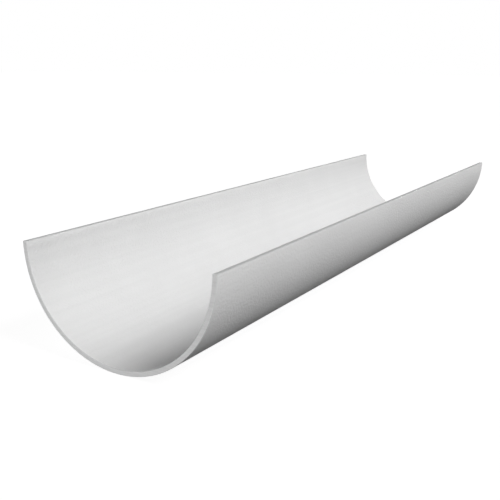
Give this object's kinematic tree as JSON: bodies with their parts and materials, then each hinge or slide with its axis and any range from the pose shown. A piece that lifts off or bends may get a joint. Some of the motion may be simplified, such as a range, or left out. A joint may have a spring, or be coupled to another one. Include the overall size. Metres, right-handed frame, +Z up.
{
  "type": "half-round gutter section",
  "caption": "Straight half-round rainwater gutter section with an even wall, plain lips and square-cut open ends, laid on its round back to catch and carry roof water.",
  "frame": {"origin": "half way along the lowest line of the round outside, where the gutter touches a level floor", "axes": "+Y along the gutter, +X across it from the left lip to the right lip, +Z up out of the open side"},
  "size_m": [0.16, 0.6, 0.08],
  "materials": {
    "rigid_pvc": "matte"
  },
  "bodies": {
    "root": {"gutter": "rigid_pvc"}
  },
  "joints": []
}
